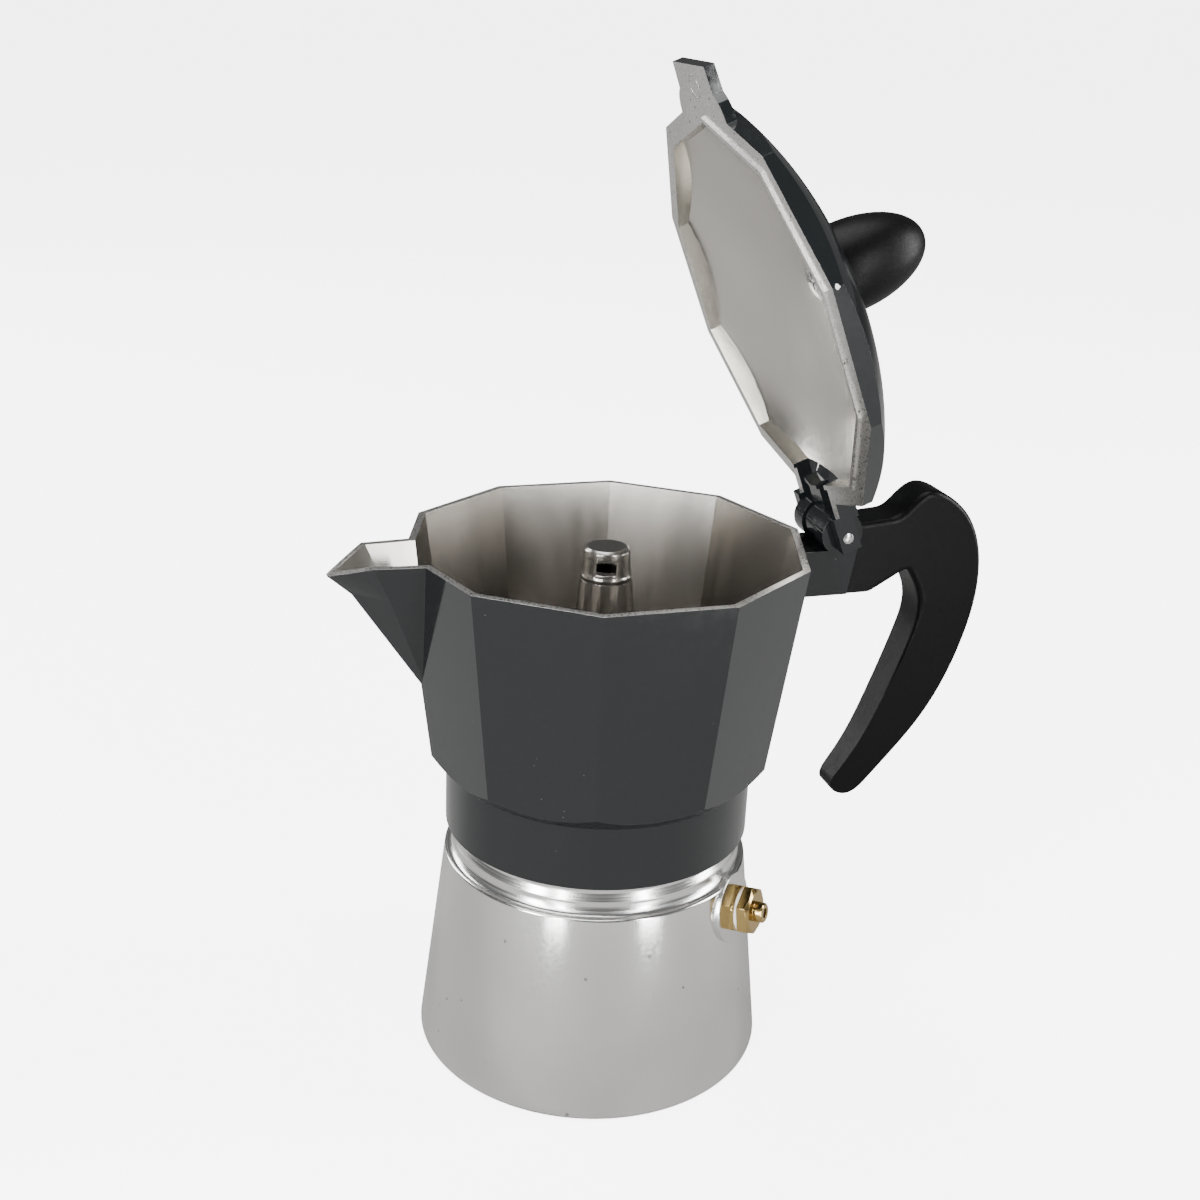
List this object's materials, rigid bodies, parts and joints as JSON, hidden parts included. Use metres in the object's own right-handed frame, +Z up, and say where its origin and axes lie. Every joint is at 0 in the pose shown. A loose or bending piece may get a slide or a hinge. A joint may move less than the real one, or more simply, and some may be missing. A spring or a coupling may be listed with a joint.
{
  "type": "moka pot",
  "caption": "Stovetop coffee maker with a faceted enamelled upper pot, bare aluminium boiler, curved plastic handle, domed hinged lid stored open and a brass safety valve.",
  "frame": {"origin": "centre of the face the boiler rests on", "axes": "+Z up along the pot, +X towards the handle, -X towards the spout, the lid hinge runs along Y"},
  "size_m": [0.1622, 0.0954, 0.2381],
  "materials": {
    "boiler_aluminium": "satin",
    "bright_aluminium": "satin",
    "cast_aluminium": "cast",
    "enamel": "gloss",
    "brass": "polished",
    "steel": "brushed",
    "washer": "matte",
    "rubber": "matte",
    "plastic": "satin"
  },
  "bodies": {
    "lower_pot": {"boiler": "boiler_aluminium", "valve_base": "brass", "valve_backnut": "brass", "valve_washer": "washer", "valve_cap": "brass"},
    "plunger": {"valve_plunger": "steel", "valve_spring": "steel"},
    "basket": {"funnel": "bright_aluminium", "funnel_screen": "bright_aluminium"},
    "seal": {"gasket": "rubber", "filter_plate": "bright_aluminium"},
    "upper_pot": {"collector": "enamel", "column_cap": "cast_aluminium", "hinge_pin": "steel", "handle": "plastic", "handle_screw": "steel"},
    "cover": {"lid": "enamel", "knob": "plastic", "knob_insert": "brass", "knob_screw": "steel"}
  },
  "joints": [
    {"name": "collector_unscrew", "type": "hinge", "parent": "seal", "child": "upper_pot", "pos_m": [0, 0, 0.0721], "axis": [0, 0, 1], "range_deg": [0, 1440]},
    {"name": "gasket_lift", "type": "slide", "parent": "lower_pot", "child": "seal", "axis": [0, 0, 1], "range_m": [0, 0.0125]},
    {"name": "funnel_lift", "type": "slide", "parent": "lower_pot", "child": "basket", "axis": [0, 0, 1], "range_m": [0, 0.012]},
    {"name": "lid_hinge", "type": "hinge", "parent": "upper_pot", "child": "cover", "pos_m": [0.056, 0, 0.132], "axis": [0, 1, 0], "range_deg": [-68.2, 31.8]},
    {"name": "valve_plunger_slide", "type": "slide", "parent": "lower_pot", "child": "plunger", "axis": [0.7023, -0.7023, 0.1159], "range_m": [0, 0.001], "stiffness_N_per_m": 500, "springref_m": -0.002}
  ],
  "couplings": [
    {"joint": "gasket_lift", "follows": "collector_unscrew", "m_per_rad": 0.00047746},
    {"joint": "funnel_lift", "follows": "collector_unscrew", "m_per_rad": 0.00045}
  ]
}
